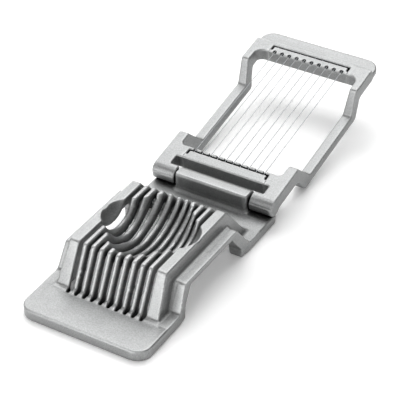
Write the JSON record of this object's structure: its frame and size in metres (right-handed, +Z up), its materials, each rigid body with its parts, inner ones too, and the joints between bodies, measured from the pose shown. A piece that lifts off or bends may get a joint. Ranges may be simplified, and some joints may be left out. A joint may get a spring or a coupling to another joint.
{
  "type": "hinged egg slicer",
  "caption": "Cast egg slicer: a slotted cup on a footed base, and a hinged frame whose parallel wires fold down through the egg into the slots.",
  "frame": {"origin": "on the table plane, under the middle of the hinge axis", "axes": "+X along the hinge axis, +Y from the hinge to the opened frame, +Z up"},
  "size_m": [0.0778, 0.2679, 0.0381],
  "materials": {
    "cast_aluminium": "blasted satin",
    "pin_steel": "ground",
    "wire_steel": "drawn stainless wire"
  },
  "bodies": {
    "base": {"base_casting": "cast_aluminium"},
    "wire_frame": {"frame_casting": "cast_aluminium", "hinge_pin": "pin_steel", "near_wire_bar": "cast_aluminium", "far_wire_bar": "cast_aluminium", "wire_01": "wire_steel", "wire_02": "wire_steel", "wire_03": "wire_steel", "wire_04": "wire_steel", "wire_05": "wire_steel", "wire_06": "wire_steel", "wire_07": "wire_steel", "wire_08": "wire_steel", "wire_09": "wire_steel", "wire_10": "wire_steel"}
  },
  "joints": [
    {"name": "frame_hinge", "type": "hinge", "parent": "base", "child": "wire_frame", "pos_m": [0, 0, 0.01155], "axis": [1, 0, 0], "range_deg": [0, 169.3]}
  ]
}
